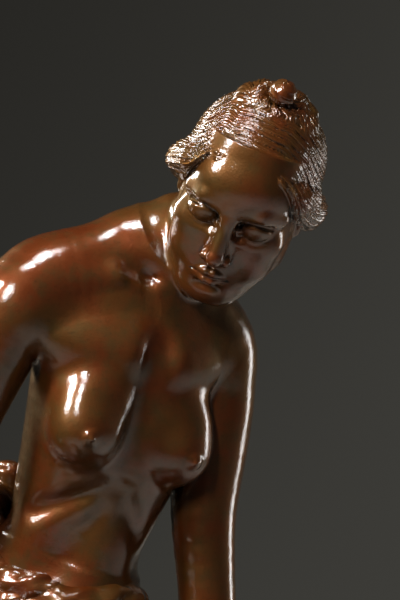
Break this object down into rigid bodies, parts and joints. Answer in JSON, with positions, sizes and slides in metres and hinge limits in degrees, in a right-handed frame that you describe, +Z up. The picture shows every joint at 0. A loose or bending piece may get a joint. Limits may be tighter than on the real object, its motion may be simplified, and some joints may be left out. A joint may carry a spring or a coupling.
{
  "type": "bronze statuette",
  "caption": "Cast bronze statuette of a seated nude bather with a topknot, leaning on an arm, on a draped rock, a ground slab and a moulded stone plinth with a felt base.",
  "frame": {"origin": "centre of the underside of the felt pad, on the surface that the statuette stands on", "axes": "+Z up, -Y towards the viewer in front of the figure, +X to that viewer's right"},
  "size_m": [0.154, 0.146, 0.2454],
  "materials": {
    "patinated_bronze": "glossy translucent red-brown lacquer over a brown patina, dark in the recesses, golden where it is rubbed",
    "cloth_bronze": "glossy red-brown lacquer over a brown patina, chased folds",
    "rock_bronze": "dark brown patina, chiselled, glossy lacquer",
    "rubbed_bronze": "brown patina rubbed to golden metal",
    "plinth_stone": "polished dark marble",
    "base_felt": "green wool felt",
    "fixing_steel": "turned steel, dull",
    "nut_brass": "turned brass"
  },
  "bodies": {
    "root": {"head": "patinated_bronze", "hair_knot": "rubbed_bronze", "torso": "patinated_bronze", "right_arm": "patinated_bronze", "left_arm": "patinated_bronze", "hips": "patinated_bronze", "right_lower_leg": "patinated_bronze", "left_lower_leg": "patinated_bronze", "waist_wrap": "cloth_bronze", "lap_drapery": "cloth_bronze", "seat_drapery": "cloth_bronze", "rock_seat": "rock_bronze", "terrace": "rock_bronze", "plinth": "plinth_stone", "felt_pad": "base_felt", "neck_pin": "rubbed_bronze", "right_arm_pin": "rubbed_bronze", "left_arm_pin": "rubbed_bronze", "waist_pins": "rubbed_bronze", "right_knee_pin": "rubbed_bronze", "left_knee_pin": "rubbed_bronze", "hand_stud": "rubbed_bronze", "foot_studs": "rubbed_bronze", "core_plugs": "rubbed_bronze", "tie_rod": "fixing_steel", "rod_nut": "nut_brass", "rod_washer": "fixing_steel", "terrace_screws": "fixing_steel", "screw_washers": "fixing_steel"}
  },
  "joints": []
}
